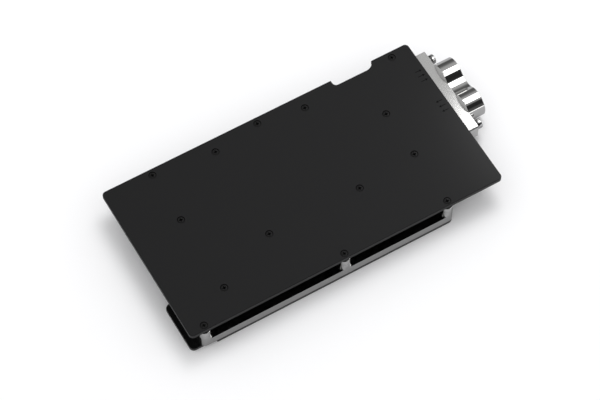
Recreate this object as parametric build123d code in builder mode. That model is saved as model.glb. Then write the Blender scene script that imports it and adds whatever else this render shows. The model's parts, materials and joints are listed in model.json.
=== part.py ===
from build123d import *
import math
import os

# Liquid cooling plate for a graphics or accelerator card, lying on its cover with the back plate up.
# Millimetres: x runs along the card to the coolant ports, y across it, z up from the rest face.
# Places on the card are measured from the back plate's corner by the open end and the near long edge.

# Layers, from the rest face up
cover_thick = 2.8
slab_thick = 7.2
boss_height = 9.6
board_thick = 1.6
plate_thick = 3.2

# Back plate
plate_length = 240.0
plate_width = 125.0
plate_corner = 3.0
plate_edge_chamfer = 0.3
notch_inset = 28.6
notch_length = 32.6
notch_depth = 5.2
notch_corner = 3.0
notch_run_out = 6.8
plate_pocket_depth = 1.2
plate_pocket_corner = 3.0
pocket_screw_margin = 4.5
back_pad_length = 60.0

# Card screws and the bosses that they enter
boss_radius = 4.1
boss_set_back = 0.15
card_screw_radius = 1.2
card_screw_clearance = 0.05
card_head_radius = 2.4
card_sink_radius = 2.7
card_screw_length = 9.0
card_hole_spare = 1.0
card_hole_radius = 1.45

# Columns and rows of bosses
near_overhang = 0.6
far_row_inset = 4.85
arm_column = 11.6
left_column = 36.6
left_near_row = 21.2
left_far_row_inset = 44.7
middle_column_offset = 0.6
right_column_inset = 42.0
right_near_row_inset = 79.2
right_far_row_inset = 42.2
corner_column_inset = 14.9
die_row_inset = 46.8
die_holes_x = 70.0
die_holes_y = 73.4

# Slab outline
step_row_inset = 87.0
manifold_far_inset = 7.0
slab_corner = 2.5
arm_width = 13.0

# Raised contact faces, by the height of what they touch on the board, and their pads
pad_thick = 1.0
die_size = 34.0
die_height = 2.6
memory_height = 1.1
memory_width = 13.0
memory_long = 58.0
memory_short = 34.0
memory_offset = 26.5
stage_height = 0.9
stage_width = 8.0
inductor_height = 4.0
inductor_width = 9.0
power_length = 70.0
power_gap = 3.0

# Coolant channels, milled from below
web_thick = 2.0
channel_width = 10.0
loop_width = 6.0
loop_x = 60.0
mill_radius = 2.5
fin_thick = 0.5
fin_pitch = 1.1
fin_height = 2.8
fin_margin = 2.0
jet_plate_thick = 1.0
jet_slot_length = 30.0
jet_slot_width = 1.2
frame_wall = 2.0
supply_sill = 3.0

# Main seal
seal_left = 48.0
seal_near_reach = 31.2
seal_far_inset = 13.0
seal_right_inset = 2.4
seal_corner = 6.0
seal_width = 2.0
seal_groove_width = 2.4
seal_groove_depth = 1.6

# Cover
tab_left = 0.3
tab_near = 1.3
tab_far = 39.0
tab_corner = 3.5
tab_end = 18.5
tab_step_corner = 1.2
cover_screw_radius = 1.45
cover_hole_radius = 1.5
cover_clearance_radius = 1.7
cover_head_radius = 2.75
cover_sink_radius = 2.95
cover_screw_length = 8.0
cover_screw_first = 40.0
cover_screw_end_inset = 21.2
cover_screw_columns = 3
cover_near_row = 8.0
cover_middle_row_inset = 83.0
cover_far_row_inset = 7.0

# Terminal block with two threaded ports
manifold_inset = 0.8
manifold_length = 18.0
axis_height = 12.2
flange_length = 71.3
flange_height = 12.4
flange_reach = 9.5
flange_corner = 0.8
ports_row_inset = 44.2
port_pitch = 27.8
port_radius = 10.6
port_length = 12.9
port_waist_radius = 10.0
port_flare_depth = 1.5
port_edge_chamfer = 0.4
thread_radius = 5.9
thread_depth = 11.0
thread_chamfer = 0.9
port_bore_radius = 3.5
port_seal_land = 0.6
port_seal_width = 1.2
port_groove_width = 1.5
port_groove_depth = 1.1

# Terminal screws
terminal_screw_spread = 60.8
terminal_screw_radius = 1.95
terminal_hole_radius = 2.0
terminal_clearance_radius = 2.2
terminal_screw_length = 20.0
terminal_hole_depth = 10.0
terminal_head_radius = 3.5
terminal_head_height = 4.0
terminal_hex = 3.0
terminal_hex_depth = 2.0
washer_thick = 1.0
washer_split = 0.6

# Levels
slab_base = cover_thick
slab_top = slab_base + slab_thick
seat_level = slab_top + boss_height
plate_base = seat_level + board_thick
plate_top = plate_base + plate_thick
card_head_level = plate_top - (card_sink_radius - card_head_radius)
card_screw_tip = card_head_level - card_screw_length
channel_top = slab_top - web_thick
channel_depth = channel_top - slab_base
fin_tip = channel_top - fin_height
jet_level = fin_tip - jet_plate_thick
axis_level = axis_height
flange_top = axis_level + flange_height / 2

# Places along and across the card; the chip lies midway between the left and right columns
far_row = plate_width - far_row_inset
corner_radius = boss_radius + boss_set_back
near_row = corner_radius - near_overhang
right_column = plate_length - right_column_inset
left_far_row = plate_width - left_far_row_inset
right_near_row = plate_width - right_near_row_inset
right_far_row = plate_width - right_far_row_inset
corner_column = plate_length - corner_column_inset
notch_end = plate_length - notch_inset
notch_start = notch_end - notch_length
die_x = (left_column + right_column) / 2
die_y = plate_width - die_row_inset
middle_column = die_x + middle_column_offset
slab_left = left_column - corner_radius
slab_right = right_column + corner_radius
slab_near = -near_overhang
slab_far = far_row + corner_radius
step_row = plate_width - step_row_inset
slab_end = plate_length - manifold_inset
manifold_far = plate_width - manifold_far_inset
flange_face = plate_length + flange_reach
port_end = flange_face + port_length
ports_row = plate_width - ports_row_inset
inlet_row = ports_row - port_pitch / 2
outlet_row = ports_row + port_pitch / 2
terminal_screw_rows = (ports_row - terminal_screw_spread / 2, ports_row + terminal_screw_spread / 2)
seal_near = die_y - seal_near_reach
seal_far = plate_width - seal_far_inset
seal_right = slab_end - seal_right_inset

# The origin lies under the middle of the whole, on the rest face
middle_x = port_end / 2
middle_y = (plate_width - near_overhang) / 2


def at(x, y):
    """a place on the card in the model's own frame"""
    return (x - middle_x, y - middle_y)


def across(x):
    """the plane that faces along the card at x"""
    return Plane.YZ.offset(x - middle_x)


def block(x1, x2, y1, y2):
    """a rectangle between two columns and two rows"""
    with Locations(at((x1 + x2) / 2, (y1 + y2) / 2)):
        Rectangle(x2 - x1, y2 - y1)


def patch(x1, x2, y1, y2, corner, mode=Mode.ADD):
    """a rounded rectangle between two columns and two rows"""
    with Locations(at((x1 + x2) / 2, (y1 + y2) / 2)):
        RectangleRounded(x2 - x1, y2 - y1, corner, mode=mode)


def facing_down(points, level):
    """planes that look down, at places on a level"""
    return [Plane((x, y, level), z_dir=(0, 0, -1)) for x, y in points]


def facing_up(points, level):
    """planes that look up, at places on a level"""
    return [Plane((x, y, level)) for x, y in points]


def write(builder, name):
    """label one finished piece and write its file"""
    builder.part.label = name
    export_step(builder.part, f"parts/{name}.step")


die_left, die_right = die_x - die_holes_x / 2, die_x + die_holes_x / 2
die_near, die_far = die_y - die_holes_y / 2, die_y + die_holes_y / 2
card_screw_points = [
    at(arm_column, near_row), at(middle_column, near_row), at(right_column, near_row),
    at(left_column, left_near_row), at(left_column, left_far_row), at(left_column, far_row),
    at(die_left, die_near), at(die_right, die_near), at(die_left, die_far), at(die_right, die_far),
    at(middle_column, far_row), at(corner_column, far_row),
    at(right_column, right_near_row), at(right_column, right_far_row),
]

cover_screw_pitch = (slab_end - cover_screw_end_inset - cover_screw_first) / (cover_screw_columns - 1)
cover_columns = [cover_screw_first + i * cover_screw_pitch for i in range(cover_screw_columns)]
cover_screw_points = [at(x, cover_near_row) for x in cover_columns if x < right_column]
cover_screw_points += [at(x, plate_width - cover_middle_row_inset) for x in cover_columns]
cover_screw_points += [at(x, plate_width - cover_far_row_inset) for x in cover_columns]

os.makedirs("parts", exist_ok=True)

# Back plate: black plate with a notch in its far edge and a pocket between the screws over the board
pocket_left, pocket_right = left_column + pocket_screw_margin, right_column - pocket_screw_margin
pocket_near, pocket_far = die_near + pocket_screw_margin, die_far - pocket_screw_margin
with BuildPart() as back_plate:
    with BuildSketch(Plane.XY.offset(plate_base)) as plate_outline:
        patch(0, plate_length, 0, plate_width, plate_corner)
    extrude(amount=plate_thick)
    with BuildSketch(Plane.XY.offset(plate_base)) as notch:
        with BuildLine():
            FilletPolyline(at(notch_start, plate_width + notch_run_out),
                           at(notch_start, plate_width - notch_depth),
                           at(notch_end, plate_width - notch_depth),
                           at(notch_end, plate_width + notch_run_out),
                           radius=[0.0, notch_corner, notch_run_out, 0.0], close=True)
        make_face()
    extrude(amount=plate_thick, mode=Mode.SUBTRACT)
    chamfer(back_plate.faces().sort_by(Axis.Z)[-1].outer_wire().edges(), plate_edge_chamfer)
    with BuildSketch(Plane.XY.offset(plate_base)) as plate_pocket:
        patch(pocket_left, pocket_right, pocket_near, pocket_far, plate_pocket_corner)
    extrude(amount=plate_pocket_depth, mode=Mode.SUBTRACT)
    with Locations(*facing_up(card_screw_points, plate_top)):
        CounterSinkHole(card_hole_radius, card_sink_radius, depth=plate_thick, counter_sink_angle=90)
write(back_plate, "back_plate")

# Card screws: countersunk, seated in the back plate's sinks
with BuildPart() as card_screw:
    with BuildSketch(Plane.XZ) as card_screw_profile:
        with BuildLine():
            Polyline((0, card_head_level), (card_head_radius, card_head_level),
                     (card_screw_radius, card_head_level - (card_head_radius - card_screw_radius)),
                     (card_screw_radius, card_screw_tip), (0, card_screw_tip), close=True)
        make_face()
    revolve(axis=Axis.Z)
with BuildPart() as back_plate_screws:
    with Locations(*card_screw_points):
        add(card_screw.part)
write(back_plate_screws, "back_plate_screws")

# Raised faces of the cold plate: name, sides on the card, and height of what they touch
stage_clear = boss_radius + power_gap
inductor_left = left_column + stage_clear
stage_left = inductor_left + inductor_width + power_gap
inductor_right = right_column - stage_clear - inductor_width
stage_right = inductor_right - power_gap - stage_width
power_near, power_far = die_y - power_length / 2, die_y + power_length / 2


def strip(x, y, length_x, length_y):
    """the sides of a strip about a middle"""
    return (x - length_x / 2, x + length_x / 2, y - length_y / 2, y + length_y / 2)


padded_faces = {
    "memory_pad_left": (strip(die_x - memory_offset, die_y, memory_width, memory_long), memory_height),
    "memory_pad_right": (strip(die_x + memory_offset, die_y, memory_width, memory_long), memory_height),
    "memory_pad_near": (strip(die_x, die_y - memory_offset, memory_short, memory_width), memory_height),
    "memory_pad_far": (strip(die_x, die_y + memory_offset, memory_short, memory_width), memory_height),
    "stage_pad_left": ((stage_left, stage_left + stage_width, power_near, power_far), stage_height),
    "stage_pad_right": ((stage_right, stage_right + stage_width, power_near, power_far), stage_height),
    "inductor_pad_left": ((inductor_left, inductor_left + inductor_width, power_near, power_far),
                          inductor_height),
    "inductor_pad_right": ((inductor_right, inductor_right + inductor_width, power_near, power_far),
                           inductor_height),
}

# Slab outline: bosses at the corners give it their own radius
slab_corners = [
    (at(slab_left, slab_far), corner_radius),
    (at(slab_left, arm_width), slab_corner),
    (at(arm_column - corner_radius, arm_width), slab_corner),
    (at(arm_column - corner_radius, slab_near), corner_radius),
    (at(slab_right, slab_near), corner_radius),
    (at(slab_right, step_row), slab_corner),
    (at(slab_end, step_row), slab_corner),
    (at(slab_end, manifold_far), slab_corner),
    (at(corner_column + corner_radius, manifold_far), slab_corner),
    (at(corner_column + corner_radius, slab_far), corner_radius),
]
with BuildSketch(Plane.XY.offset(slab_base)) as slab_outline:
    with BuildLine():
        FilletPolyline(*[point for point, radius in slab_corners],
                       radius=[radius for point, radius in slab_corners], close=True)
    make_face()

# Cold plate: slab, bosses, raised faces, manifold, channels and fins, all one milled block
half_die = die_size / 2
cavity_sides = (die_x - half_die - fin_margin, die_x + half_die + fin_margin,
                die_y - half_die - loop_width, die_y + half_die + loop_width)
collector_near, collector_far = cavity_sides[2], cavity_sides[3] - loop_width
port_inner = slab_end - manifold_length + web_thick
with BuildPart() as cold_plate:
    extrude(slab_outline.sketch, amount=slab_thick)
    with BuildSketch(Plane.XY.offset(slab_top)) as boss_outlines:
        with Locations(*card_screw_points):
            Circle(boss_radius)
    extrude(amount=boss_height)
    with BuildSketch(Plane.XY.offset(slab_top)) as manifold_outline:
        patch(slab_end - manifold_length, slab_end, step_row, manifold_far, slab_corner)
    extrude(amount=flange_top - slab_top)
    with BuildSketch(Plane.XY.offset(slab_top)) as die_face:
        block(*strip(die_x, die_y, die_size, die_size))
    extrude(amount=boss_height - die_height)
    for sides, height in padded_faces.values():
        with BuildSketch(Plane.XY.offset(slab_top)) as raised_face:
            block(*sides)
        extrude(amount=boss_height - height - pad_thick)
    with BuildSketch(Plane.XY.offset(slab_base)) as channels:
        patch(*cavity_sides, mill_radius)
        patch(cavity_sides[1] + supply_sill, port_inner + channel_width,
              inlet_row - channel_width / 2, inlet_row + channel_width / 2, mill_radius)
        patch(cavity_sides[1] - channel_width, port_inner + channel_width,
              outlet_row - channel_width / 2, outlet_row + channel_width / 2, mill_radius)
        patch(loop_x - loop_width / 2, cavity_sides[0] + channel_width,
              collector_near, collector_near + loop_width, mill_radius)
        patch(loop_x - loop_width / 2, cavity_sides[0] + channel_width,
              collector_far, collector_far + loop_width, mill_radius)
        patch(loop_x - loop_width / 2, loop_x + loop_width / 2,
              collector_near, collector_far + loop_width, mill_radius)
    extrude(amount=channel_depth, mode=Mode.SUBTRACT)
    with BuildSketch(Plane.XY.offset(channel_top)) as fins:
        with Locations(at(die_x, die_y)):
            with GridLocations(fin_pitch, 0, int(die_size / fin_pitch), 1):
                Rectangle(fin_thick, die_size)
        for side in (-1, 1):
            with Locations(at(die_x + side * (half_die + fin_margin / 2), die_y)):
                Rectangle(fin_margin, die_size)
    extrude(amount=-fin_height)
    with BuildSketch(Plane.XY.offset(slab_base)) as supply_opening:
        patch(die_x + half_die, cavity_sides[1] + supply_sill + channel_width,
              inlet_row - channel_width / 2 + frame_wall, inlet_row + channel_width / 2, mill_radius)
    extrude(amount=jet_level - slab_base, mode=Mode.SUBTRACT)
    with BuildSketch(Plane.XY.offset(slab_base)) as risers:
        for row in (inlet_row, outlet_row):
            patch(port_inner, port_inner + channel_width,
                  row - channel_width / 2, row + channel_width / 2, mill_radius)
    extrude(amount=axis_level + port_bore_radius - slab_base, mode=Mode.SUBTRACT)
    with BuildSketch(across(slab_end)) as manifold_passages:
        for row in (inlet_row, outlet_row):
            with Locations((row - middle_y, axis_level)):
                Circle(port_bore_radius)
    extrude(amount=port_inner + channel_width / 2 - slab_end, mode=Mode.SUBTRACT)
    with BuildSketch(Plane.XY.offset(slab_base)) as seal_groove:
        patch(seal_left - seal_groove_width / 2, seal_right + seal_groove_width / 2,
              seal_near - seal_groove_width / 2, seal_far + seal_groove_width / 2,
              seal_corner + seal_groove_width / 2)
        patch(seal_left + seal_groove_width / 2, seal_right - seal_groove_width / 2,
              seal_near + seal_groove_width / 2, seal_far - seal_groove_width / 2,
              seal_corner - seal_groove_width / 2, mode=Mode.SUBTRACT)
    extrude(amount=seal_groove_depth, mode=Mode.SUBTRACT)
    with Locations(*facing_up(card_screw_points, seat_level)):
        Hole(card_screw_radius + card_screw_clearance, depth=seat_level - card_screw_tip + card_hole_spare)
    with Locations(*facing_down(cover_screw_points, slab_base)):
        Hole(cover_hole_radius, depth=cover_screw_length - cover_thick + card_hole_spare)
    with Locations(*[across(slab_end) * Location((row - middle_y, axis_level))
                     for row in terminal_screw_rows]):
        Hole(terminal_hole_radius, depth=terminal_hole_depth)
write(cold_plate, "cold_plate")

# Thermal pads: one on each padded face, and three in the back plate's pocket
for name, (sides, height) in padded_faces.items():
    with BuildPart() as thermal_pad:
        with BuildSketch(Plane.XY.offset(seat_level - height - pad_thick)) as pad_outline:
            block(*sides)
        extrude(amount=pad_thick)
    write(thermal_pad, name)
back_pads_near, back_pads_far = die_y - back_pad_length / 2, die_y + back_pad_length / 2
back_pads = {
    "back_pad_left": (inductor_left, stage_left + stage_width, back_pads_near, back_pads_far),
    "back_pad_middle": strip(die_x, die_y, die_size, die_size),
    "back_pad_right": (stage_right, inductor_right + inductor_width, back_pads_near, back_pads_far),
}
for name, sides in back_pads.items():
    with BuildPart() as back_pad:
        with BuildSketch(Plane.XY.offset(plate_base)) as back_pad_outline:
            block(*sides)
        extrude(amount=plate_pocket_depth)
    write(back_pad, name)

# Jet plate over the fins, with one slot across them
with BuildPart() as jet_plate:
    with BuildSketch(Plane.XY.offset(jet_level)) as jet_outline:
        with Locations(at(die_x, die_y)):
            Rectangle(die_size + 2 * fin_margin, die_size)
            SlotOverall(jet_slot_length, jet_slot_width, mode=Mode.SUBTRACT)
    extrude(amount=jet_plate_thick)
write(jet_plate, "jet_plate")

# Main seal between the slab and the cover
with BuildPart() as main_seal:
    with BuildSketch(Plane.XY.offset(slab_base)) as seal_outline:
        patch(seal_left - seal_width / 2, seal_right + seal_width / 2,
              seal_near - seal_width / 2, seal_far + seal_width / 2, seal_corner + seal_width / 2)
        patch(seal_left + seal_width / 2, seal_right - seal_width / 2,
              seal_near + seal_width / 2, seal_far - seal_width / 2,
              seal_corner - seal_width / 2, mode=Mode.SUBTRACT)
    extrude(amount=seal_groove_depth)
write(main_seal, "main_seal")

# Cover: flat plate under the slab, with a tab under its arm and a frame that holds the jet plate down
cover_corners = [
    (at(slab_left, slab_far), corner_radius),
    (at(slab_left, tab_far), slab_corner),
    (at(tab_left, tab_far), tab_corner),
    (at(tab_left, tab_near), tab_corner),
    (at(tab_end, tab_near), 0.0),
    (at(tab_end, slab_near), tab_step_corner),
    (at(slab_right, slab_near), corner_radius),
    (at(slab_right, step_row), slab_corner),
    (at(slab_end, step_row), slab_corner),
    (at(slab_end, manifold_far), slab_corner),
    (at(corner_column + corner_radius, manifold_far), slab_corner),
    (at(corner_column + corner_radius, slab_far), corner_radius),
]
with BuildPart() as cover:
    with BuildSketch() as cover_outline:
        with BuildLine():
            FilletPolyline(*[point for point, radius in cover_corners],
                           radius=[radius for point, radius in cover_corners], close=True)
        make_face()
    extrude(amount=cover_thick)
    with BuildSketch(Plane.XY.offset(cover_thick)) as jet_frame:
        with Locations(at(die_x, die_y)):
            Rectangle(die_size + 2 * fin_margin, die_size)
        with Locations(at(die_x + frame_wall, die_y)):
            Rectangle(die_size + 2 * fin_margin, die_size - 2 * frame_wall, mode=Mode.SUBTRACT)
    extrude(amount=jet_level - cover_thick)
    with Locations(*facing_down(cover_screw_points, 0)):
        CounterSinkHole(cover_clearance_radius, cover_sink_radius, depth=cover_thick,
                        counter_sink_angle=90)
write(cover, "cover")

# Cover screws: countersunk, a little under the rest face
cover_head_level = cover_sink_radius - cover_head_radius
with BuildPart() as cover_screw:
    with BuildSketch(Plane.XZ) as cover_screw_profile:
        with BuildLine():
            Polyline((0, cover_head_level), (cover_head_radius, cover_head_level),
                     (cover_screw_radius, cover_head_level + cover_head_radius - cover_screw_radius),
                     (cover_screw_radius, cover_screw_length), (0, cover_screw_length), close=True)
        make_face()
    revolve(axis=Axis.Z)
with BuildPart() as cover_screws:
    with Locations(*cover_screw_points):
        add(cover_screw.part)
write(cover_screws, "cover_screws")

# Terminal block: flange on the end of the card with two round ports grown together at the waist
port_places = [across(port_end) * Location((row - middle_y, axis_level)) for row in (inlet_row, outlet_row)]
waist_level = math.sqrt((port_radius + port_waist_radius) ** 2 - (port_pitch / 2) ** 2)
with BuildPart() as terminal_block:
    with BuildSketch(across(slab_end)) as flange_outline:
        with Locations((ports_row - middle_y, axis_level)):
            RectangleRounded(flange_length, flange_height, flange_corner)
    extrude(amount=flange_face - slab_end)
    with BuildSketch(across(flange_face)) as ports_outline:
        with Locations((ports_row - middle_y, axis_level)):
            Polygon((-port_pitch / 2, 0), (0, waist_level), (port_pitch / 2, 0), (0, -waist_level),
                    align=None)
            with Locations((0, waist_level), (0, -waist_level)):
                Circle(port_waist_radius, mode=Mode.SUBTRACT)
            with Locations((-port_pitch / 2, 0), (port_pitch / 2, 0)):
                Circle(port_radius)
    extrude(amount=port_length)
    chamfer(terminal_block.faces().sort_by(Axis.X)[-1].outer_wire().edges(), port_edge_chamfer)
    for row in (inlet_row, outlet_row):
        with Locations(across(flange_face) * Location((row - middle_y, axis_level, -port_flare_depth / 2))):
            Cone(flange_height / 2 - flange_corner, port_radius, port_flare_depth)
    with Locations(*port_places):
        Hole(port_bore_radius, depth=port_end - slab_end)
        Hole(thread_radius, depth=thread_depth)
    chamfer(terminal_block.faces().sort_by(Axis.X)[-1].inner_wires().edges(), thread_chamfer)
    with BuildSketch(across(slab_end)) as port_grooves:
        for row in (inlet_row, outlet_row):
            with Locations((row - middle_y, axis_level)):
                Circle(port_bore_radius + port_seal_land + port_groove_width)
                Circle(port_bore_radius + port_seal_land, mode=Mode.SUBTRACT)
    extrude(amount=port_groove_depth, mode=Mode.SUBTRACT)
    with Locations(*[across(flange_face) * Location((row - middle_y, axis_level))
                     for row in terminal_screw_rows]):
        Hole(terminal_clearance_radius, depth=flange_face - slab_end)
write(terminal_block, "terminal_block")

# Port seals in the grooves of the terminal block's back
port_seal_inner = port_bore_radius + port_seal_land + (port_groove_width - port_seal_width) / 2
with BuildPart() as port_seals:
    with BuildSketch(across(slab_end)) as port_seal_outline:
        for row in (inlet_row, outlet_row):
            with Locations((row - middle_y, axis_level)):
                Circle(port_seal_inner + port_seal_width)
                Circle(port_seal_inner, mode=Mode.SUBTRACT)
    extrude(amount=port_groove_depth)
write(port_seals, "port_seals")

# Terminal screws with split washers under their heads
screw_seat = flange_face + washer_thick
with BuildPart() as terminal_screw:
    with BuildSketch(Plane.XY) as terminal_shank:
        Circle(terminal_screw_radius)
    extrude(amount=-terminal_screw_length)
    with BuildSketch(Plane.XY) as terminal_head:
        Circle(terminal_head_radius)
    extrude(amount=terminal_head_height)
    with BuildSketch(Plane.XY.offset(terminal_head_height)) as terminal_socket:
        RegularPolygon(terminal_hex / 2, 6, major_radius=False)
    extrude(amount=-terminal_hex_depth, mode=Mode.SUBTRACT)
with BuildPart() as terminal_washer:
    with BuildSketch(Plane.XY) as washer_outline:
        Circle(terminal_head_radius)
        Circle(terminal_clearance_radius, mode=Mode.SUBTRACT)
        with Locations((terminal_head_radius, 0)):
            Rectangle(2 * terminal_head_radius, washer_split, mode=Mode.SUBTRACT)
    extrude(amount=washer_thick)
with BuildPart() as terminal_screws:
    with Locations(*[across(screw_seat) * Location((row - middle_y, axis_level))
                     for row in terminal_screw_rows]):
        add(terminal_screw.part)
write(terminal_screws, "terminal_screws")
with BuildPart() as terminal_washers:
    with Locations(*[across(flange_face) * Location((row - middle_y, axis_level))
                     for row in terminal_screw_rows]):
        add(terminal_washer.part)
write(terminal_washers, "terminal_washers")
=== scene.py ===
import json
import math
import bpy
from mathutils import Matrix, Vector


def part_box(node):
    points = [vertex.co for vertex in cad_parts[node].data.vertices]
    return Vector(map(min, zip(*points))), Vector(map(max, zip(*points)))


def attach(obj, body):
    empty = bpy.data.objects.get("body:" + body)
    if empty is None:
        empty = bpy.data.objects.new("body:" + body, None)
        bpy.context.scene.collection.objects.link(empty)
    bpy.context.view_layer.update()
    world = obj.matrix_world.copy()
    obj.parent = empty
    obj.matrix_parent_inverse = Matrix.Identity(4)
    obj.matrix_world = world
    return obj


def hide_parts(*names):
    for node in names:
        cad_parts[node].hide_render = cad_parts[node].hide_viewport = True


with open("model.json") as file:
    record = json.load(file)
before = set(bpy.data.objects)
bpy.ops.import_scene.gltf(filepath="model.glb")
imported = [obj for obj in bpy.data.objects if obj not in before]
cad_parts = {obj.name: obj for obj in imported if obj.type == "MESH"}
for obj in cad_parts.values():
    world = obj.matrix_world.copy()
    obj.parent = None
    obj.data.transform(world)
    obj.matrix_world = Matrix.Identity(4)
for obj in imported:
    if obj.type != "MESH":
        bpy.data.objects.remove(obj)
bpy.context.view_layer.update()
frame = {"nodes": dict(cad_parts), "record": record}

bl_info = {
    "name": "Card cooling plate",
    "version": (1, 0, 0),
    "blender": (4, 5, 0),
    "location": "3D View > Sidebar > Cooling plate",
    "description": "Dresses a liquid cooling plate for a card and sets it in a pale studio",
    "category": "Object",
}

MM = 0.001

# Slack, when faces and edges are found by their height
LEVEL_SLACK = 0.01 * MM

# The bosses under the card screws, and the foot round each: its ledge at the top, and how far it
# sinks into the slab and into the boss
BOSS_RADIUS = 4.1 * MM
BOSS_HEIGHT = 9.6 * MM
FOOT_LEDGE = 0.02 * MM
FOOT_SINK = 0.2 * MM
FOOT_OVERLAP = 0.3 * MM

# The sunk holes of the card screws, the cover's broken edge, and how near to its screw holes no
# edge is broken
SUNK_HOLE_RADIUS = 2.75 * MM
COVER_EDGE = 0.25 * MM
COVER_HOLE_ZONE = 3.3 * MM

# Flow arrows in millimetres: inset from the plate's end, step from one to the next, and shift
# of all three past the port's middle; then radius and shift of head and stem, and the stem's
# stretch
ARROW_INSET, ARROW_STEP, ARROW_SHIFT = 5.2, 4.2, 2.3
HEAD_RADIUS, HEAD_SHIFT = 1.15, 1.6
STEM_RADIUS, STEM_SHIFT, STEM_STRETCH = 0.32, 0.7, 7.4

# The depth behind the flange's face within which each port's flare ends
FLARE_ZONE = 2 * MM

# The port threads: radius of the ridge's section, its middle from the port's axis, how deep the
# thread starts, its turns, and the steps of one turn
THREAD_RIDGE = 0.42 * MM
THREAD_REACH = 5.92 * MM
THREAD_DEPTH = 10.0 * MM
THREAD_TURNS = 6
THREAD_STEPS = 42

# Finishes of the port block, by their place in its list of materials
POLISHED, BLASTED = 1, 2

# Sockets of a Mix node that mixes colours
MIX_FACTOR, MIX_LOW, MIX_HIGH, MIX_RESULT = 0, 6, 7, 2

# The studio's bands for polished faces: height from the far horizon over the top in degrees,
# and level
BANDS = ((0, 0.07), (11, 0.042), (19, 0.037), (27, 0.044), (35, 0.06), (43, 0.105), (51, 0.16),
         (60, 0.175), (75, 0.19), (105, 0.19), (116, 0.11), (124, 0.010), (146, 0.008),
         (155, 0.028), (163, 0.038), (171, 0.018), (180, 0.024))

# How strong the bands are: the direction's share along the card, from left to right, and
# strength
FADE = ((-1, 1.4), (-0.3, 1.4), (0.05, 1.05), (0.14, 1.05), (0.36, 2.9), (0.6, 6.0), (1, 6.0))
FADE_SCALE = 8.0


class FinishSettings(bpy.types.PropertyGroup):
    """Colours and sheens of the finishes"""
    anodised_colour: bpy.props.FloatVectorProperty(
        name="Anodised colour", description="Colour of the black back plate",
        subtype="COLOR", size=3, default=(0.0085, 0.0085, 0.009))
    anodised_roughness: bpy.props.FloatProperty(
        name="Anodised roughness", description="Sheen of the black back plate",
        default=0.38, min=0.0, max=1.0, subtype="FACTOR")
    nickel_colour: bpy.props.FloatVectorProperty(
        name="Nickel colour", description="Colour of the plated slab and ports",
        subtype="COLOR", size=3, default=(0.68, 0.678, 0.67))
    nickel_roughness: bpy.props.FloatProperty(
        name="Nickel roughness", description="Sheen of the plated slab and ports",
        default=0.05, min=0.0, max=1.0, subtype="FACTOR")
    steel_colour: bpy.props.FloatVectorProperty(
        name="Steel colour", description="Colour of the bright screws and washers",
        subtype="COLOR", size=3, default=(0.55, 0.55, 0.55))
    plastic_colour: bpy.props.FloatVectorProperty(
        name="Cover colour", description="Colour of the black cover",
        subtype="COLOR", size=3, default=(0.004, 0.004, 0.0042))
    pad_colour: bpy.props.FloatVectorProperty(
        name="Pad colour", description="Colour of the soft thermal pads",
        subtype="COLOR", size=3, default=(0.30, 0.33, 0.37))


class PieceSettings(bpy.types.PropertyGroup):
    """Sizes of the fine details"""
    cross_span: bpy.props.FloatProperty(
        name="Cross recess span", description="Across the cross recess of a card screw",
        default=2.9 * MM, unit="LENGTH", precision=5)
    cross_width: bpy.props.FloatProperty(
        name="Cross recess width", description="Width of one slot of the cross recess",
        default=0.9 * MM, unit="LENGTH", precision=5)
    cross_depth: bpy.props.FloatProperty(
        name="Cross recess depth", description="How deep the cross recess goes",
        default=1.5 * MM, unit="LENGTH", precision=5)
    cover_hex: bpy.props.FloatProperty(
        name="Cover screw socket", description="Across the flats of a cover screw's socket",
        default=2.0 * MM, unit="LENGTH", precision=5)
    cap_hex: bpy.props.FloatProperty(
        name="Cap screw socket", description="Across the flats of a cap screw's socket",
        default=3.0 * MM, unit="LENGTH", precision=5)
    flange_chamfer: bpy.props.FloatProperty(
        name="Flange chamfer", description="Chamfer along the port flange's two ends",
        default=0.85 * MM, unit="LENGTH", precision=5)
    boss_edge: bpy.props.FloatProperty(
        name="Boss edge", description="Rounding of the bosses' upper edge",
        default=0.45 * MM, unit="LENGTH", precision=5)
    foot_width: bpy.props.FloatProperty(
        name="Boss foot width",
        description="How far the hollow foot stands out from each boss",
        default=0.8 * MM, unit="LENGTH", precision=5)
    foot_height: bpy.props.FloatProperty(
        name="Boss foot height", description="How high the hollow foot climbs up each boss",
        default=5.2 * MM, unit="LENGTH", precision=5)
    mark_depth: bpy.props.FloatProperty(
        name="Flow arrow depth", description="How deep the flow arrows are engraved",
        default=0.12 * MM, unit="LENGTH", precision=5)
    thread_pitch: bpy.props.FloatProperty(
        name="Thread pitch", description="Pitch of the pipe thread in the ports",
        default=1.337 * MM, unit="LENGTH", precision=6)


class StageSettings(bpy.types.PropertyGroup):
    """Camera, floor and lights"""
    azimuth: bpy.props.FloatProperty(
        name="Camera azimuth",
        description="Where the camera stands, turned from the near long side",
        default=-0.52572, subtype="ANGLE", unit="ROTATION")
    elevation: bpy.props.FloatProperty(
        name="Camera elevation", description="Height of the camera over the horizon",
        default=1.05056, subtype="ANGLE", unit="ROTATION")
    distance: bpy.props.FloatProperty(
        name="Camera distance", description="From the camera to the point it looks at",
        default=1.675969, unit="LENGTH")
    lens: bpy.props.FloatProperty(
        name="Lens", description="Focal length on a 36 mm sensor, in millimetres", default=150.08)
    aim: bpy.props.FloatVectorProperty(
        name="Aim", description="The point that the camera looks at", subtype="TRANSLATION",
        size=3, default=(-0.018268, -0.008647, 0.0244))
    floor_size: bpy.props.FloatProperty(
        name="Floor", description="Side of the pale floor", default=12.0, unit="LENGTH")
    ambient: bpy.props.FloatProperty(
        name="Ambient light", description="Strength of the even light from all round", default=0.85)


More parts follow.
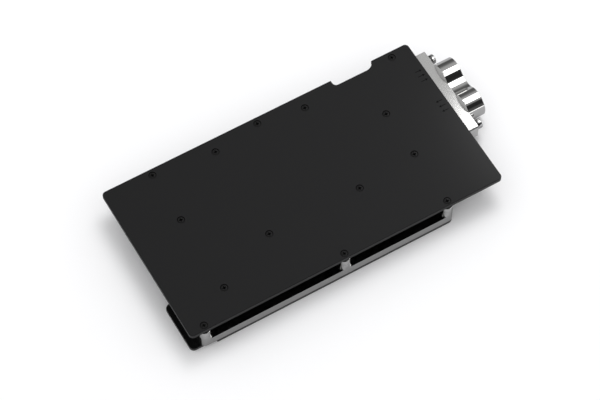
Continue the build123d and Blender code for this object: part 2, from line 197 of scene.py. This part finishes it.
class Nodes:
    """One material under construction: its node tree and its main shader"""

    def __init__(self, name):
        self.material = bpy.data.materials.new(name)
        self.material.use_nodes = True
        self.tree = self.material.node_tree
        self.shader = self.tree.nodes["Principled BSDF"]
        self.place = self.add("ShaderNodeTexCoord").outputs["Object"]

    def add(self, kind, **values):
        """a node, with its plain inputs set by name"""
        node = self.tree.nodes.new(kind)
        for name, value in values.items():
            node.inputs[name.replace("_", " ")].default_value = value
        return node

    def link(self, output, node, name):
        self.tree.links.new(output, node.inputs[name])

    def noise(self, scale, detail=2.0, stretch=(1.0, 1.0, 1.0)):
        """a noise in the object's own space; stretch over 1 packs it tighter along that axis"""
        mapping = self.add("ShaderNodeMapping", Scale=stretch)
        self.link(self.place, mapping, "Vector")
        texture = self.add("ShaderNodeTexNoise", Scale=scale, Detail=detail)
        self.link(mapping.outputs["Vector"], texture, "Vector")
        return texture.outputs["Fac"]

    def between(self, source, low, high):
        """a value that runs between two limits as the source runs from 0.3 to 0.7"""
        node = self.add("ShaderNodeMapRange", From_Min=0.3, From_Max=0.7, To_Min=low, To_Max=high)
        self.link(source, node, "Value")
        return node.outputs["Result"]

    def bump(self, source, strength, distance):
        node = self.add("ShaderNodeBump", Strength=strength, Distance=distance)
        self.link(source, node, "Height")
        self.link(node.outputs["Normal"], self.shader, "Normal")

    def tint(self, source, colour, share):
        """the base colour, a little darker and lighter with the source"""
        node = self.add("ShaderNodeMix")
        node.data_type = "RGBA"
        node.inputs[MIX_LOW].default_value = [c * (1 - share) for c in colour] + [1]
        node.inputs[MIX_HIGH].default_value = [c * (1 + share) for c in colour] + [1]
        self.link(source, node, MIX_FACTOR)
        self.link(node.outputs[MIX_RESULT], self.shader, "Base Color")

    def set(self, **values):
        for name, value in values.items():
            self.shader.inputs[name.replace("_", " ")].default_value = value


def anodised(settings):
    """Black anodised aluminium, finely blasted"""
    nodes = Nodes("black anodised")
    nodes.set(Metallic=0.0, IOR=1.45, Specular_IOR_Level=0.42)
    broad = nodes.noise(30, 3)
    nodes.tint(broad, settings.anodised_colour, 0.02)
    rough = settings.anodised_roughness
    nodes.link(nodes.between(broad, rough - 0.004, rough + 0.004), nodes.shader, "Roughness")
    nodes.bump(nodes.noise(2600, 2), 0.02, 0.00001)
    return nodes.material


def painted_recess_shade(settings):
    """Engraved arrows, sunk holes and screw recesses: a dull black, darker than the plate; in the
    sunk holes and screw recesses the darker colour is painted shade, and the arrows take the same
    colour
    """
    nodes = Nodes("painted recess shade")
    nodes.set(Metallic=0.0, IOR=1.45, Specular_IOR_Level=0.08)
    fine = nodes.noise(3000, 3)
    # Painted shade: 0.45 times the plate's black, so the hollows render darker
    nodes.tint(fine, [0.45 * c for c in settings.anodised_colour], 0.1)
    nodes.link(nodes.between(fine, 0.5, 0.6), nodes.shader, "Roughness")
    nodes.bump(fine, 0.1, 0.00001)
    return nodes.material


def black_steel(settings):
    """Blackened screws"""
    nodes = Nodes("black screw")
    nodes.set(Metallic=0.0, IOR=1.45, Specular_IOR_Level=0.40)
    broad = nodes.noise(400, 3)
    nodes.tint(broad, (0.008, 0.008, 0.008), 0.1)
    nodes.link(nodes.between(broad, 0.38, 0.44), nodes.shader, "Roughness")
    nodes.bump(nodes.noise(5000, 2), 0.1, 0.00001)
    return nodes.material


def nickel(settings):
    """Bright nickel plate over milled copper"""
    nodes = Nodes("nickel plate")
    nodes.set(Metallic=1.0)
    broad = nodes.noise(60, 3)
    nodes.tint(broad, settings.nickel_colour, 0.04)
    rough = settings.nickel_roughness
    fine = nodes.noise(900, 3, (1, 1, 6))
    nodes.link(nodes.between(fine, rough - 0.01, rough + 0.02), nodes.shader, "Roughness")
    nodes.bump(fine, 0.03, 0.00001)
    return nodes.material


def blasted_nickel(settings):
    """Nickel plate over a blasted face, where each port runs out into the flange: rough as blasted,
    and lighter than the nickel as painted light
    """
    nodes = Nodes("blasted nickel with painted light")
    # Painted light: mostly non-metal and 1.2 times the nickel's colour, so these faces render
    # lighter than the nickel round them
    nodes.set(Metallic=0.2)
    nodes.tint(nodes.noise(60, 3), [1.2 * c for c in settings.nickel_colour], 0.02)
    fine = nodes.noise(1200, 3)
    nodes.link(nodes.between(fine, 0.58, 0.66), nodes.shader, "Roughness")
    nodes.bump(fine, 0.02, 0.00001)
    return nodes.material


def satin_nickel(settings):
    """Nickel plate left satin, on the port flange, with its colour lightened past the nickel's as
    painted light
    """
    nodes = Nodes("satin nickel with painted light")
    nodes.set(Metallic=1.0)
    broad = nodes.noise(40, 2)
    # Painted light: 1.22 times the nickel's colour, a lighter copy that makes up for light on the
    # flange
    nodes.tint(broad, [1.22 * c for c in settings.nickel_colour], 0.015)
    nodes.link(nodes.between(broad, 0.25, 0.27), nodes.shader, "Roughness")
    nodes.bump(nodes.noise(6000, 2), 0.004, 0.00001)
    return nodes.material


def steel(settings):
    """Turned stainless steel"""
    nodes = Nodes("stainless steel")
    nodes.set(Metallic=1.0)
    broad = nodes.noise(300, 3)
    nodes.tint(broad, settings.steel_colour, 0.05)
    nodes.link(nodes.between(broad, 0.07, 0.11), nodes.shader, "Roughness")
    nodes.bump(nodes.noise(4000, 2, (8, 1, 1)), 0.05, 0.00001)
    return nodes.material


def plastic(settings):
    """Matt black cover"""
    nodes = Nodes("black cover")
    nodes.set(Metallic=0.0, IOR=1.48)
    broad = nodes.noise(50, 3)
    nodes.tint(broad, settings.plastic_colour, 0.12)
    nodes.link(nodes.between(broad, 0.24, 0.30), nodes.shader, "Roughness")
    nodes.bump(nodes.noise(2200, 3), 0.03, 0.00001)
    return nodes.material


def rubber(settings):
    """Black seal rubber"""
    nodes = Nodes("seal rubber")
    nodes.set(Metallic=0.0)
    broad = nodes.noise(200, 3)
    nodes.tint(broad, (0.015, 0.015, 0.015), 0.15)
    nodes.link(nodes.between(broad, 0.6, 0.75), nodes.shader, "Roughness")
    nodes.bump(nodes.noise(3000, 3), 0.2, 0.00002)
    return nodes.material


def pad(settings):
    """Soft grey thermal pad"""
    nodes = Nodes("thermal pad")
    nodes.set(Metallic=0.0)
    broad = nodes.noise(250, 4)
    nodes.tint(broad, settings.pad_colour, 0.08)
    nodes.link(nodes.between(broad, 0.7, 0.85), nodes.shader, "Roughness")
    nodes.bump(nodes.noise(1500, 4), 0.3, 0.00005)
    return nodes.material


MAKERS = {
    "black_anodised": anodised,
    "black_screw": black_steel,
    "nickel": nickel,
    "stainless": steel,
    "black_acetal": plastic,
    "seal_rubber": rubber,
    "thermal_pad": pad,
    "painted_recess_shade": painted_recess_shade,
    "satin_nickel": satin_nickel,
    "blasted_nickel": blasted_nickel,
}
FINISHES = {}


def fresh():
    """Object mode, and nothing selected"""
    if bpy.context.mode != "OBJECT":
        bpy.ops.object.mode_set(mode="OBJECT")
    bpy.ops.object.select_all(action="DESELECT")


def pick(piece):
    """One piece selected and active"""
    fresh()
    piece.select_set(True)
    bpy.context.view_layer.objects.active = piece


def copy_of(node, name):
    """A piece that starts as a node's own shape, with its loose triangles merged"""
    piece = bpy.data.objects.new(name, frame["nodes"][node].data.copy())
    bpy.context.collection.objects.link(piece)
    piece.data.materials.clear()
    pick(piece)
    bpy.ops.mesh.customdata_custom_splitnormals_clear()
    bpy.ops.object.mode_set(mode="EDIT")
    bpy.ops.mesh.select_all(action="SELECT")
    bpy.ops.mesh.remove_doubles(threshold=0.003 * MM)
    bpy.ops.mesh.dissolve_limited(angle_limit=math.radians(0.5))
    bpy.ops.object.mode_set(mode="OBJECT")
    return piece


def choose(piece, faces=None, edges=None):
    """Edit mode, with the faces or the edges selected that the test accepts"""
    pick(piece)
    bpy.ops.object.mode_set(mode="EDIT")
    bpy.ops.mesh.select_mode(type="FACE" if faces else "EDGE")
    bpy.ops.mesh.select_all(action="DESELECT")
    bpy.ops.object.mode_set(mode="OBJECT")
    mesh = piece.data
    if faces:
        for face in mesh.polygons:
            face.select = faces(face)
    else:
        for edge in mesh.edges:
            edge.select = edges(*(mesh.vertices[v].co for v in edge.vertices))
    bpy.ops.object.mode_set(mode="EDIT")


def turned(name, profile, sides=48):
    """A body turned about the Z axis through rings of (radius, height), closed at both ends"""
    (radius, height), *rings = profile
    fresh()
    bpy.ops.mesh.primitive_circle_add(vertices=sides, radius=radius, fill_type="NGON",
                                      location=(0, 0, height))
    piece = bpy.context.object
    piece.name = name
    bpy.ops.object.transform_apply(location=True)
    bpy.ops.object.mode_set(mode="EDIT")
    bpy.ops.mesh.select_mode(type="FACE")
    bpy.ops.mesh.select_all(action="SELECT")
    for next_radius, next_height in rings:
        bpy.ops.mesh.extrude_region_move(
            TRANSFORM_OT_translate={"value": (0, 0, next_height - height)})
        share = next_radius / radius
        bpy.ops.transform.resize(value=(share, share, 1), center_override=(0, 0, next_height))
        radius, height = next_radius, next_height
    bpy.ops.mesh.select_all(action="SELECT")
    bpy.ops.mesh.normals_make_consistent(inside=False)
    bpy.ops.object.mode_set(mode="OBJECT")
    return piece


def combine(piece, tool, operation, material_mode="INDEX"):
    """The piece cut by, or kept within, a tool body, which is used up"""
    pick(piece)
    bpy.ops.object.modifier_add(type="BOOLEAN")
    modifier = piece.modifiers[-1]
    modifier.operation = operation
    modifier.solver = "EXACT"
    modifier.material_mode = material_mode
    modifier.object = tool
    bpy.ops.object.modifier_apply(modifier=modifier.name)
    bpy.data.objects.remove(tool)


def joined(pieces):
    """Several pieces joined into the first of them"""
    fresh()
    for piece in pieces:
        piece.select_set(True)
    bpy.context.view_layer.objects.active = pieces[0]
    bpy.ops.object.join()
    return pieces[0]


def spread(piece, places, turn=(0, 0, 0)):
    """Copies of a piece at several places, joined into one object at the origin"""
    name = piece.name
    copies = []
    for place in places:
        copy = bpy.data.objects.new(name, piece.data.copy())
        bpy.context.collection.objects.link(copy)
        copy.location = place
        copy.rotation_euler = turn
        copies.append(copy)
    bpy.data.objects.remove(piece)
    whole = joined(copies)
    bpy.ops.object.transform_apply(location=True, rotation=True, scale=True)
    whole.name = name
    return whole


def middles(node):
    """The middle of each separate solid of a node"""
    copy_of(node, "count")
    bpy.ops.mesh.separate(type="LOOSE")
    places = []
    for part in list(bpy.context.selected_objects):
        points = [v.co for v in part.data.vertices]
        low = [min(p[i] for p in points) for i in range(3)]
        high = [max(p[i] for p in points) for i in range(3)]
        places.append(Vector((a + b) / 2 for a, b in zip(low, high)))
        bpy.data.objects.remove(part)
    return places


def finished(piece, slot, *nodes, smooth=30):
    """The piece's shading and finish; it rides on the block in place of the nodes"""
    pick(piece)
    bpy.ops.object.shade_smooth_by_angle(angle=math.radians(smooth))
    if not piece.data.materials:
        piece.data.materials.append(FINISHES[slot])
    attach(piece, "root")
    if nodes:
        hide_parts(*nodes)


class COOLER_OT_finishes(bpy.types.Operator):
    """Give every piece of the block its finish"""
    bl_idname = "cooler.finishes"
    bl_label = "Finishes"

    def execute(self, context):
        settings = context.scene.cooler_finish
        FINISHES.update((slot, make(settings)) for slot, make in MAKERS.items())
        for part in frame["record"]["subparts"]:
            piece = frame["nodes"][part["node"]]
            piece.data.materials.clear()
            piece.data.materials.append(FINISHES[part["material_slot"]])
        return {"FINISHED"}


class COOLER_OT_card_screws(bpy.types.Operator):
    """The fourteen countersunk screws of the back plate, each with a cross recess"""
    bl_idname = "cooler.card_screws"
    bl_label = "Card screws"

    def execute(self, context):
        sizes = context.scene.cooler_pieces
        low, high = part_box("back_plate_screws")
        tip = low.z - high.z
        rings = [(1.92, 0), (2.08, -0.04), (2.16, -0.15), (2.16, -0.24), (1.2, -1.2)]
        screw = turned("card_screws", [(r * MM, z * MM) for r, z in rings]
                       + [(1.2 * MM, tip + 0.5 * MM), (0.85 * MM, tip)])
        screw.data.materials.append(FINISHES["black_screw"])
        span, width = sizes.cross_span, sizes.cross_width
        for across in ((span, width), (width, span)):
            fresh()
            bpy.ops.mesh.primitive_cube_add(size=1)
            tool = bpy.context.object
            tool.scale = (*across, 2 * sizes.cross_depth)
            bpy.ops.object.transform_apply(scale=True)
            # The cross recess takes the darker recess colour: painted shade in its slots
            tool.data.materials.append(FINISHES["painted_recess_shade"])
            choose(tool, faces=lambda face: face.normal.z < -0.9)
            bpy.ops.transform.resize(value=(0.8, 0.8, 1))
            bpy.ops.object.mode_set(mode="OBJECT")
            combine(screw, tool, "DIFFERENCE", "TRANSFER")
        places = [(p.x, p.y, high.z) for p in middles("back_plate_screws")]
        finished(spread(screw, places), "black_screw", "back_plate_screws")
        return {"FINISHED"}


class COOLER_OT_cover_screws(bpy.types.Operator):
    """The countersunk screws of the cover, each with a hexagon socket"""
    bl_idname = "cooler.cover_screws"
    bl_label = "Cover screws"

    def execute(self, context):
        sizes = context.scene.cooler_pieces
        low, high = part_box("cover_screws")
        tip = low.z - high.z
        rings = [(2.5, 0), (2.68, -0.06), (2.73, -0.2), (1.45, -1.48)]
        screw = turned("socket_screws", [(r * MM, z * MM) for r, z in rings]
                       + [(1.45 * MM, tip + 0.6 * MM), (1.05 * MM, tip)])
        combine(screw, hexagon(sizes.cover_hex, 1.3 * MM), "DIFFERENCE")
        places = [(p.x, p.y, low.z) for p in middles("cover_screws")]
        finished(spread(screw, places, (math.pi, 0, 0)), "stainless", "cover_screws")
        return {"FINISHED"}


class COOLER_OT_cap_screws(bpy.types.Operator):
    """The two cap screws of the port flange, each with a hexagon socket"""
    bl_idname = "cooler.cap_screws"
    bl_label = "Cap screws"

    def execute(self, context):
        sizes = context.scene.cooler_pieces
        low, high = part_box("terminal_screws")
        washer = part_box("terminal_washers")[1].x - high.x
        tip = low.x - high.x
        rings = [(2.9, 0), (3.15, -0.06), (3.35, -0.22), (3.45, -0.5), (3.5, -0.6)]
        screw = turned("cap_screws", [(r * MM, z * MM) for r, z in rings]
                       + [(3.5 * MM, washer + 0.35 * MM), (3.3 * MM, washer), (1.95 * MM, washer),
                          (1.95 * MM, tip + 0.7 * MM), (1.45 * MM, tip)], 64)
        combine(screw, hexagon(sizes.cap_hex, 2.0 * MM), "DIFFERENCE")
        places = [(high.x, p.y, p.z) for p in middles("terminal_screws")]
        finished(spread(screw, places, (0, math.pi / 2, 0)), "stainless", "terminal_screws")
        return {"FINISHED"}


def hexagon(across, depth):
    """A tool body for a hexagon socket, with a chamfer at its mouth"""
    corner = across / math.sqrt(3)
    rings = [(corner * 0.3, -depth - 0.25 * corner), (corner, -depth), (corner, -0.08 * corner),
             (corner * 1.25, 0.15 * corner)]
    return turned("socket", rings, 6)


def arrow_tool(sides, radius, place, turn, depth, stretch=1):
    """A tool body for an arrow's head or, stretched along the card, for its stem"""
    fresh()
    bpy.ops.mesh.primitive_cylinder_add(vertices=sides, radius=radius, depth=2 * depth,
                                        location=place, rotation=(0, 0, turn))
    tool = bpy.context.object
    bpy.ops.object.transform_apply(location=True, rotation=True, scale=True)
    if stretch != 1:
        bpy.ops.object.mode_set(mode="EDIT")
        bpy.ops.transform.resize(value=(stretch, 1, 1), center_override=place)
        bpy.ops.object.mode_set(mode="OBJECT")
    tool.data.materials.append(FINISHES["painted_recess_shade"])
    return tool


class COOLER_OT_plate(bpy.types.Operator):
    """The back plate, with flow arrows engraved beside the ports"""
    bl_idname = "cooler.plate"
    bl_label = "Back plate"

    def execute(self, context):
        sizes = context.scene.cooler_pieces
        plate = copy_of("back_plate", "plate")
        plate.data.materials.append(FINISHES["black_anodised"])
        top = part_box("back_plate")[1]
        rows = sorted(place.y for place in middles("port_seals"))
        places = [(top.x - ARROW_INSET * MM, row + (side * ARROW_STEP + ARROW_SHIFT) * MM, way)
                  for row, way in zip(rows, (-1, 1)) for side in (-1, 0, 1)]
        heads = [arrow_tool(3, HEAD_RADIUS * MM, (x + way * HEAD_SHIFT * MM, y, top.z),
                            -way * math.pi / 2, sizes.mark_depth) for x, y, way in places]
        combine(plate, joined(heads), "DIFFERENCE", "TRANSFER")
        stems = [arrow_tool(4, STEM_RADIUS * MM, (x - way * STEM_SHIFT * MM, y, top.z),
                            math.pi / 4, sizes.mark_depth, STEM_STRETCH) for x, y, way in places]
        combine(plate, joined(stems), "DIFFERENCE", "TRANSFER")
        # The sloping sides of the sunk holes take the darker recess colour: painted shade in the
        # ring round each screw head
        dark = plate.data.materials.find(FINISHES["painted_recess_shade"].name)
        holes = [place.xy for place in middles("back_plate_screws")]
        for side in plate.data.polygons:
            nearest = min((side.center.xy - hole).length for hole in holes)
            if 0.2 < side.normal.z < 0.9 and nearest < SUNK_HOLE_RADIUS:
                side.material_index = dark
        finished(plate, "black_anodised", "back_plate", smooth=25)
        return {"FINISHED"}


class COOLER_OT_slab(bpy.types.Operator):
    """The cold plate with rounded bosses, and the hollow feet that the bosses stand on"""
    bl_idname = "cooler.slab"
    bl_label = "Cold plate"

    def execute(self, context):
        sizes = context.scene.cooler_pieces
        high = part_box("cold_plate")[1]
        bosses = [place.xy for place in middles("back_plate_screws")]
        boss, top = BOSS_RADIUS, high.z - BOSS_HEIGHT

        def rim(a, b):
            """an edge of a boss's upper rim"""
            return all(abs(p.z - high.z) < LEVEL_SLACK and
                       min(abs((p.xy - place).length - boss) for place in bosses) < 0.05 * MM
                       for p in (a, b))

        slab = copy_of("cold_plate", "slab")
        choose(slab, edges=rim)
        bpy.ops.mesh.bevel(offset=sizes.boss_edge, segments=3)
        bpy.ops.object.mode_set(mode="OBJECT")
        finished(slab, "nickel", "cold_plate")

        room = copy_of("cold_plate", "room")
        choose(room, faces=lambda face: (face.normal.z > 0.99
                                         and abs(face.center.z - top) < LEVEL_SLACK))
        bpy.ops.mesh.select_all(action="INVERT")
        bpy.ops.mesh.delete(type="FACE")
        bpy.ops.mesh.select_all(action="SELECT")
        bpy.ops.mesh.extrude_region_move(
            TRANSFORM_OT_translate={"value": (0, 0, 1.2 * sizes.foot_height)})
        bpy.ops.mesh.select_all(action="SELECT")
        bpy.ops.mesh.normals_make_consistent(inside=False)
        bpy.ops.object.mode_set(mode="OBJECT")
        wide, tall, ledge = sizes.foot_width, sizes.foot_height, FOOT_LEDGE
        feet = turned("boss_feet", [(boss + wide, -FOOT_SINK)]
                      + [(boss + ledge + (wide - ledge) * (1 - s) ** 1.6, tall * s)
                         for s in (0, 0.12, 0.28, 0.5, 0.75, 1)]
                      + [(boss - FOOT_OVERLAP, tall)], 84)
        feet = spread(feet, [(*place, top) for place in bosses])
        combine(feet, room, "INTERSECT")
        if not feet.data.polygons:
            raise RuntimeError("the boss feet are empty")
        finished(feet, "nickel")
        return {"FINISHED"}


class COOLER_OT_ports(bpy.types.Operator):
    """The port block: satin flange, polished ports, and the thread in each port; the flange and the
    flares where the ports meet it get lighter copies of the nickel, as painted light
    """
    bl_idname = "cooler.ports"
    bl_label = "Port block"

    def execute(self, context):
        sizes = context.scene.cooler_pieces
        low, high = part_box("terminal_block")
        block = copy_of("terminal_block", "port_block")
        for slot in ("satin_nickel", "nickel", "blasted_nickel"):
            block.data.materials.append(FINISHES[slot])
        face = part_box("terminal_washers")[0].x
        flange = [v.co for v in block.data.vertices if v.co.x < face - FLARE_ZONE]
        ends = [(min(p[i] for p in flange), max(p[i] for p in flange)) for i in (1, 2)]
        pick(block)
        for y, way in zip(ends[0], (-1, 1)):
            for z, rise in zip(ends[1], (-1, 1)):
                bpy.ops.object.mode_set(mode="EDIT")
                bpy.ops.mesh.select_all(action="SELECT")
                bpy.ops.mesh.bisect(plane_co=(0, y - way * sizes.flange_chamfer, z),
                                    plane_no=(0, way, rise), use_fill=True, clear_outer=True)
                bpy.ops.object.mode_set(mode="OBJECT")
        # Faces past the washer face are polished; the flares take the lighter blasted colour and
        # the rest of the flange the lighter satin colour, both painted light
        for side in block.data.polygons:
            if side.center.x > face + 0.1 * MM:
                side.material_index = POLISHED
            elif side.center.x > face - FLARE_ZONE and 0.5 < abs(side.normal.x) < 0.99:
                side.material_index = BLASTED
        finished(block, "nickel", "terminal_block")

        fresh()
        bpy.ops.mesh.primitive_circle_add(vertices=3, radius=THREAD_RIDGE)
        thread = bpy.context.object
        thread.name = "port_threads"
        bpy.ops.object.mode_set(mode="EDIT")
        bpy.ops.mesh.select_all(action="SELECT")
        bpy.ops.transform.rotate(value=-math.pi / 2, orient_axis="X", center_override=(0, 0, 0))
        bpy.ops.transform.translate(value=(THREAD_REACH, 0, 0))
        bpy.ops.object.mode_set(mode="OBJECT")
        bpy.ops.object.modifier_add(type="SCREW")
        turn = thread.modifiers[-1]
        turn.axis = "Z"
        turn.angle = 2 * math.pi
        turn.screw_offset = sizes.thread_pitch
        turn.iterations = THREAD_TURNS
        turn.steps = turn.render_steps = THREAD_STEPS
        bpy.ops.object.modifier_apply(modifier=turn.name)
        middle = (low.z + high.z) / 2
        places = [(high.x - THREAD_DEPTH, place.y, middle) for place in middles("port_seals")]
        finished(spread(thread, places, (0, math.pi / 2, 0)), "nickel")
        return {"FINISHED"}


class COOLER_OT_cover(bpy.types.Operator):
    """The cover with its outer edges broken"""
    bl_idname = "cooler.cover"
    bl_label = "Cover"

    def execute(self, context):
        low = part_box("cover")[0]
        cover = copy_of("cover", "bottom_cover")
        holes = middles("cover_screws")

        def outline(a, b):
            """a level edge of the underside, away from the screw holes"""
            return max(abs(p.z - low.z) for p in (a, b)) < LEVEL_SLACK and all(
                ((a + b) / 2 - hole).xy.length > COVER_HOLE_ZONE for hole in holes)

        choose(cover, edges=outline)
        bpy.ops.mesh.bevel(offset=COVER_EDGE, segments=2)
        bpy.ops.object.mode_set(mode="OBJECT")
        finished(cover, "black_acetal", "cover")
        return {"FINISHED"}


class COOLER_OT_stage(bpy.types.Operator):
    """Add the floor, the lights and the camera"""
    bl_idname = "cooler.stage"
    bl_label = "Stage"

    def execute(self, context):
        settings = context.scene.cooler_stage
        fresh()
        bpy.ops.mesh.primitive_plane_add(size=settings.floor_size, location=(0, 0, -0.00005))
        floor = context.object
        floor.name = "floor"
        floor.data.materials.append(floor_paint())
        world_light(context.scene, settings.ambient)
        key = add_light("key", place=(0.477, 0.477, 1.669), aim=(0, 0, 0),
                        size=(0.9, 0.9), power=10.9)
        key.visible_glossy = False
        strip = add_light("strip", place=(0.182, 0.0145, 0.119), aim=(0.182, 0.0145, 0),
                          size=(0.06, 0.077), power=0.045)
        strip.visible_diffuse = False
        strip.visible_camera = False
        add_camera(context.scene, settings)
        context.scene.view_settings.view_transform = "Standard"
        return {"FINISHED"}


def floor_paint():
    """Pale matt floor, greyer where it lights or is mirrored in the block"""
    nodes = Nodes("pale floor")
    nodes.set(Roughness=0.9)
    path = nodes.add("ShaderNodeLightPath")
    shade = nodes.add("ShaderNodeMix")
    shade.data_type = "RGBA"
    shade.inputs[MIX_LOW].default_value = (0.48, 0.48, 0.49, 1)
    shade.inputs[MIX_HIGH].default_value = (0.93, 0.93, 0.94, 1)
    nodes.link(path.outputs["Is Camera Ray"], shade, MIX_FACTOR)
    nodes.link(shade.outputs[MIX_RESULT], nodes.shader, "Base Color")
    return nodes.material


def grey_ramp(tree, stops):
    """A ramp of greys, eased from one stop to the next"""
    ramp = tree.nodes.new("ShaderNodeValToRGB")
    ramp.color_ramp.interpolation = "EASE"
    for position, level in stops:
        stop = ramp.color_ramp.elements.new(position)
        stop.color = (level, level, level, 1)
    return ramp


def world_light(scene, strength):
    """Even light from all round, seen as white, with dark and pale bands for what is polished"""
    world = bpy.data.worlds.new("studio")
    world.use_nodes = True
    scene.world = world
    tree = world.node_tree
    even = tree.nodes["Background"]
    even.inputs["Color"].default_value = (1, 1, 1, 1)
    path = tree.nodes.new("ShaderNodeLightPath")
    seen = tree.nodes.new("ShaderNodeMapRange")
    seen.inputs["To Min"].default_value = strength
    seen.inputs["To Max"].default_value = 1.0
    tree.links.new(path.outputs["Is Camera Ray"], seen.inputs["Value"])
    tree.links.new(seen.outputs["Result"], even.inputs["Strength"])
    place = tree.nodes.new("ShaderNodeTexCoord")
    split = tree.nodes.new("ShaderNodeSeparateXYZ")
    tree.links.new(place.outputs["Generated"], split.inputs["Vector"])
    turn = tree.nodes.new("ShaderNodeMath")
    turn.operation = "ARCTAN2"
    tree.links.new(split.outputs["Z"], turn.inputs[0])
    tree.links.new(split.outputs["Y"], turn.inputs[1])
    share = tree.nodes.new("ShaderNodeMath")
    share.operation = "DIVIDE"
    share.inputs[1].default_value = math.pi
    tree.links.new(turn.outputs["Value"], share.inputs[0])
    ramp = grey_ramp(tree, [(angle / 180, level) for angle, level in BANDS])
    tree.links.new(share.outputs["Value"], ramp.inputs["Fac"])
    bands = tree.nodes.new("ShaderNodeBackground")
    side = tree.nodes.new("ShaderNodeMapRange")
    side.inputs["From Min"].default_value = -1.0
    tree.links.new(split.outputs["X"], side.inputs["Value"])
    fade = grey_ramp(tree, [((along + 1) / 2, level / FADE_SCALE) for along, level in FADE])
    tree.links.new(side.outputs["Result"], fade.inputs["Fac"])
    lift = tree.nodes.new("ShaderNodeMath")
    lift.operation = "MULTIPLY"
    lift.inputs[1].default_value = FADE_SCALE
    tree.links.new(fade.outputs["Color"], lift.inputs[0])
    tree.links.new(lift.outputs["Value"], bands.inputs["Strength"])
    tree.links.new(ramp.outputs["Color"], bands.inputs["Color"])
    mix = tree.nodes.new("ShaderNodeMixShader")
    tree.links.new(path.outputs["Is Glossy Ray"], mix.inputs[0])
    tree.links.new(even.outputs["Background"], mix.inputs[1])
    tree.links.new(bands.outputs["Background"], mix.inputs[2])
    tree.links.new(mix.outputs["Shader"], tree.nodes["World Output"].inputs["Surface"])


def add_light(name, place, aim, size, power):
    """A rectangular soft box turned to a point"""
    turn = (Vector(aim) - Vector(place)).to_track_quat("-Z", "Y").to_euler()
    bpy.ops.object.light_add(type="AREA", location=place, rotation=turn)
    light = bpy.context.object
    light.name = name
    light.data.shape = "RECTANGLE"
    light.data.size, light.data.size_y = size
    light.data.energy = power
    return light


def add_camera(scene, settings):
    """Long lens from the photograph's side"""
    back = Vector((math.sin(settings.azimuth) * math.cos(settings.elevation),
                   -math.cos(settings.azimuth) * math.cos(settings.elevation),
                   math.sin(settings.elevation)))
    place = Vector(settings.aim) + back * settings.distance
    turn = (-back).to_track_quat("-Z", "Y").to_euler()
    bpy.ops.object.camera_add(location=place, rotation=turn)
    camera = bpy.context.object
    camera.name = "camera"
    camera.data.lens = settings.lens
    camera.data.sensor_width = 36.0
    camera.data.clip_start, camera.data.clip_end = 0.01, 50.0
    scene.camera = camera


class COOLER_PT_panel(bpy.types.Panel):
    """The sidebar panel with all the steps"""
    bl_idname = "COOLER_PT_panel"
    bl_label = "Cooling plate"
    bl_space_type = "VIEW_3D"
    bl_region_type = "UI"
    bl_category = "Cooling plate"

    def draw(self, context):
        for settings in (context.scene.cooler_finish, context.scene.cooler_pieces,
                         context.scene.cooler_stage):
            column = self.layout.column()
            for name in settings.__annotations__:
                column.prop(settings, name)
        for operator in OPERATORS:
            self.layout.operator(operator.bl_idname)


OPERATORS = (COOLER_OT_finishes, COOLER_OT_card_screws, COOLER_OT_cover_screws,
             COOLER_OT_cap_screws, COOLER_OT_plate, COOLER_OT_slab, COOLER_OT_ports,
             COOLER_OT_cover, COOLER_OT_stage)
CLASSES = (FinishSettings, PieceSettings, StageSettings) + OPERATORS + (COOLER_PT_panel,)


def register():
    for cls in CLASSES:
        bpy.utils.register_class(cls)
    bpy.types.Scene.cooler_finish = bpy.props.PointerProperty(type=FinishSettings)
    bpy.types.Scene.cooler_pieces = bpy.props.PointerProperty(type=PieceSettings)
    bpy.types.Scene.cooler_stage = bpy.props.PointerProperty(type=StageSettings)


def unregister():
    del bpy.types.Scene.cooler_stage
    del bpy.types.Scene.cooler_pieces
    del bpy.types.Scene.cooler_finish
    for cls in reversed(CLASSES):
        bpy.utils.unregister_class(cls)


def main():
    register()
    bpy.ops.cooler.finishes()
    bpy.ops.cooler.card_screws()
    bpy.ops.cooler.cover_screws()
    bpy.ops.cooler.cap_screws()
    bpy.ops.cooler.plate()
    bpy.ops.cooler.slab()
    bpy.ops.cooler.ports()
    bpy.ops.cooler.cover()
    bpy.ops.cooler.stage()


if __name__ == "__main__":
    main()
